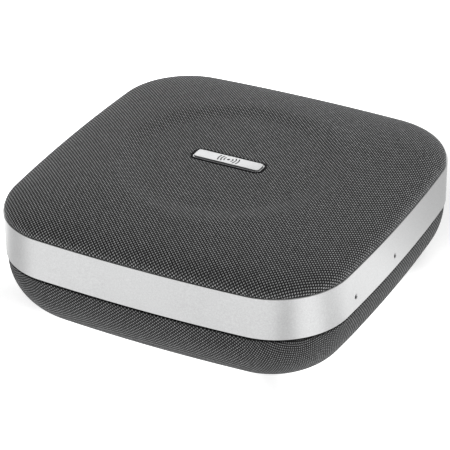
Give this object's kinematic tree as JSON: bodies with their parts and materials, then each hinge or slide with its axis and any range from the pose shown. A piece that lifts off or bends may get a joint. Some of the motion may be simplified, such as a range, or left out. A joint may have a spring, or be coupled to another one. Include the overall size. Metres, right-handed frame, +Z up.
{
  "type": "conference speakerphone",
  "caption": "Rounded-square table-top speakerphone with a dished cloth crown, an aluminium band with microphone ports, rear buttons and sockets, and a cloth bowl on a rubber foot.",
  "frame": {"origin": "on the table, under the centre of the body", "axes": "+Z up; -Y the front, away from the sockets; +X the side with the microphone ports"},
  "size_m": [0.15, 0.15, 0.058],
  "materials": {
    "foot_rubber": "matte",
    "base_plastic": "fine texture",
    "label_film": "satin film",
    "screw_steel": "zinc plated",
    "shell_plastic": "matte",
    "crown_cloth": "woven, grey melange",
    "bowl_cloth": "woven, grey melange",
    "band_aluminium": "bead blasted, clear anodised",
    "nameplate_aluminium": "fine satin",
    "bezel_plastic": "satin",
    "board": "solder mask",
    "led": "clear",
    "box_plastic": "fine texture",
    "gasket_foam": "closed-cell foam",
    "basket_steel": "black lacquer",
    "magnet_ferrite": "sintered",
    "plated_steel": "zinc plated",
    "spider_cloth": "resin-treated cloth",
    "surround_rubber": "matte",
    "cone_paper": "pulp",
    "coil_copper": "enamelled wire",
    "radiator_alloy": "satin",
    "shield_steel": "tinned",
    "chip": "moulded epoxy",
    "capacitor_can": "drawn",
    "connector_nylon": "natural nylon",
    "cell_wrap": "shrink film",
    "port_steel": "nickel plated",
    "jack_plastic": "matte",
    "button_aluminium": "bead blasted, clear anodised",
    "plunger_plastic": "matte",
    "mic_can": "gold plated",
    "red_wire": "vinyl",
    "black_wire": "vinyl"
  },
  "bodies": {
    "case": {"foot_ring": "foot_rubber", "base_plate": "base_plastic", "rating_label": "label_film", "base_screws": "screw_steel", "bottom_shell": "shell_plastic", "bottom_fabric": "bowl_cloth", "band": "band_aluminium", "mid_frame": "shell_plastic", "case_screws": "screw_steel", "top_shell": "shell_plastic", "top_fabric": "crown_cloth", "nameplate": "nameplate_aluminium", "nameplate_bezel": "bezel_plastic", "touch_board": "board", "status_leds": "led", "speaker_tub": "box_plastic", "tub_gasket": "gasket_foam", "baffle": "box_plastic", "small_screws": "screw_steel", "driver_basket": "basket_steel", "driver_gasket": "gasket_foam", "driver_magnet": "magnet_ferrite", "driver_top_plate": "plated_steel", "driver_yoke": "plated_steel", "driver_spider": "spider_cloth", "driver_surround": "surround_rubber", "radiator_frames": "box_plastic", "left_radiator_surround": "surround_rubber", "right_radiator_surround": "surround_rubber", "main_board": "board", "processor_shield": "shield_steel", "board_chips": "chip", "capacitors": "capacitor_can", "board_connectors": "connector_nylon", "battery_cells": "cell_wrap", "battery_cradle": "box_plastic", "io_board": "board", "usb_receptacle": "port_steel", "audio_jack": "jack_plastic", "switch_bodies": "jack_plastic", "mic_board": "board", "microphones": "mic_can", "mic_boots": "surround_rubber", "antenna_board": "board", "battery_lead": "red_wire", "speaker_lead": "black_wire"},
    "cone": {"driver_cone": "cone_paper", "driver_dust_cap": "cone_paper", "voice_coil": "coil_copper"},
    "left_radiator": {"left_radiator_plate": "radiator_alloy"},
    "right_radiator": {"right_radiator_plate": "radiator_alloy"},
    "power": {"power_button": "button_aluminium", "power_plunger": "plunger_plastic"},
    "pairing": {"pairing_button": "button_aluminium", "pairing_plunger": "plunger_plastic"},
    "volume_down": {"volume_down_button": "button_aluminium", "volume_down_plunger": "plunger_plastic"},
    "volume_up": {"volume_up_button": "button_aluminium", "volume_up_plunger": "plunger_plastic"}
  },
  "joints": [
    {"name": "power_press", "type": "slide", "parent": "case", "child": "power", "axis": [0, -1, 0], "range_m": [0, 0.0006], "stiffness_N_per_m": 1500, "springref_m": -0.0002},
    {"name": "pairing_press", "type": "slide", "parent": "case", "child": "pairing", "axis": [0, -1, 0], "range_m": [0, 0.0006], "stiffness_N_per_m": 1500, "springref_m": -0.0002},
    {"name": "volume_down_press", "type": "slide", "parent": "case", "child": "volume_down", "axis": [0, -1, 0], "range_m": [0, 0.0006], "stiffness_N_per_m": 1500, "springref_m": -0.0002},
    {"name": "volume_up_press", "type": "slide", "parent": "case", "child": "volume_up", "axis": [0, -1, 0], "range_m": [0, 0.0006], "stiffness_N_per_m": 1500, "springref_m": -0.0002},
    {"name": "cone_stroke", "type": "slide", "parent": "case", "child": "cone", "axis": [0, 0, 1], "range_m": [-0.0015, 0.0015], "stiffness_N_per_m": 1600, "deforming": ["driver_surround", "driver_spider"]},
    {"name": "left_radiator_stroke", "type": "slide", "parent": "case", "child": "left_radiator", "axis": [-1, 0, 0], "range_m": [-0.0015, 0.0015], "stiffness_N_per_m": 400, "deforming": ["left_radiator_surround"]},
    {"name": "right_radiator_stroke", "type": "slide", "parent": "case", "child": "right_radiator", "axis": [1, 0, 0], "range_m": [-0.0015, 0.0015], "stiffness_N_per_m": 400, "deforming": ["right_radiator_surround"]}
  ]
}
